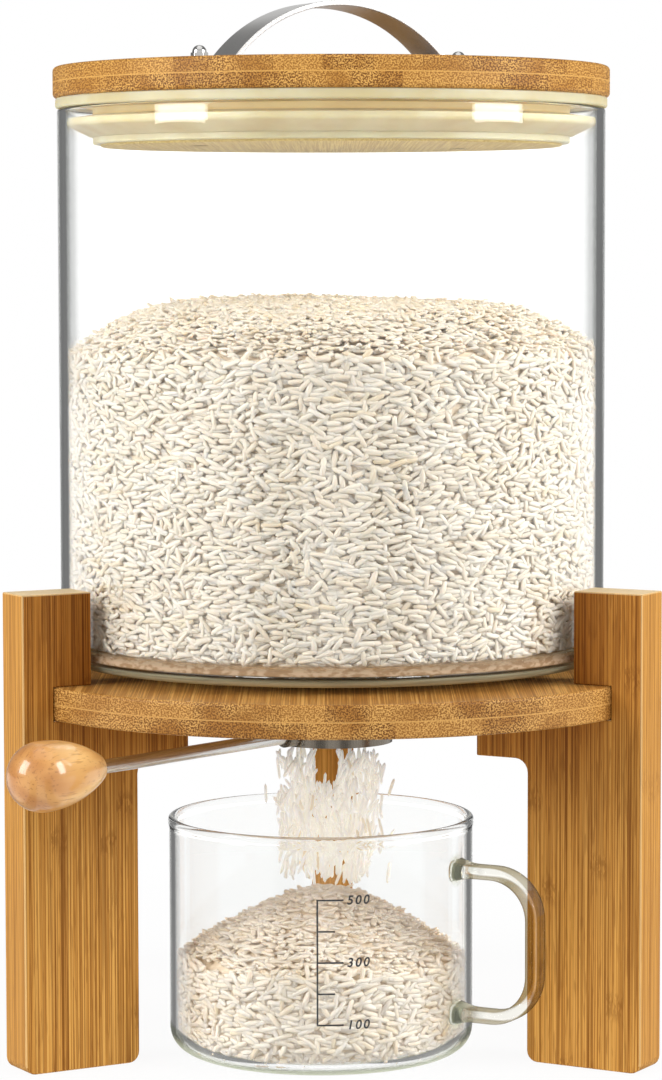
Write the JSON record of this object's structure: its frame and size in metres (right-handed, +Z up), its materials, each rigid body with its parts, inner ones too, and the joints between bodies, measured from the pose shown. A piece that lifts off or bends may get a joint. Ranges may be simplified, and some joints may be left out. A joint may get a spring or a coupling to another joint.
{
  "type": "glass rice dispenser",
  "caption": "Lidded glass jar on a bamboo stand with upright board legs; a side lever turns a rotary valve that drops grain into a glass measuring cup below.",
  "frame": {"origin": "on the jar's axis at table level, in the middle of the stand", "axes": "+Z up along the jar's axis, -Y to the front where the lever and the cup are, +X to the right seen from the front"},
  "size_m": [0.236, 0.2633, 0.3808],
  "materials": {
    "bamboo": "satin lacquered laminated bamboo",
    "glass": "clear polished glass",
    "cup_glass": "clear thin heatproof glass",
    "steel": "brushed stainless steel",
    "fastener_steel": "bright plated steel",
    "silicone": "milky translucent silicone",
    "turned_wood": "glossy lacquered light wood"
  },
  "bodies": {
    "stand": {"shelf": "bamboo", "leg_front_left": "bamboo", "leg_front_right": "bamboo", "leg_rear": "bamboo", "leg_screws": "fastener_steel", "jar_gasket": "silicone", "outlet_throat": "steel", "flange_screws": "fastener_steel", "valve_plate": "steel", "pivot_bolt": "fastener_steel", "pivot_washer": "fastener_steel", "pivot_nut": "fastener_steel"},
    "jar": {"glass_jar": "glass"},
    "lid": {"lid_board": "bamboo", "lid_plug": "bamboo", "lid_seal": "silicone", "lid_handle": "steel", "handle_bolts": "fastener_steel", "handle_cap_nuts": "fastener_steel"},
    "lever": {"valve_rotor": "steel", "lever_rod": "steel", "lever_knob": "turned_wood"},
    "cup": {"measuring_cup": "cup_glass", "cup_handle": "cup_glass"}
  },
  "joints": [
    {"name": "valve_turn", "type": "hinge", "parent": "stand", "child": "lever", "pos_m": [0, 0, 0.1137], "axis": [0, 0, 1], "range_deg": [0, 78]},
    {"name": "jar_lift", "type": "slide", "parent": "stand", "child": "jar", "axis": [0, 0, 1], "range_m": [0, 0.06]},
    {"name": "lid_lift", "type": "slide", "parent": "jar", "child": "lid", "axis": [0, 0, 1], "range_m": [0, 0.08]},
    {"name": "cup_slide", "type": "slide", "parent": "stand", "child": "cup", "axis": [0, -1, 0], "range_m": [0, 0.16]}
  ]
}
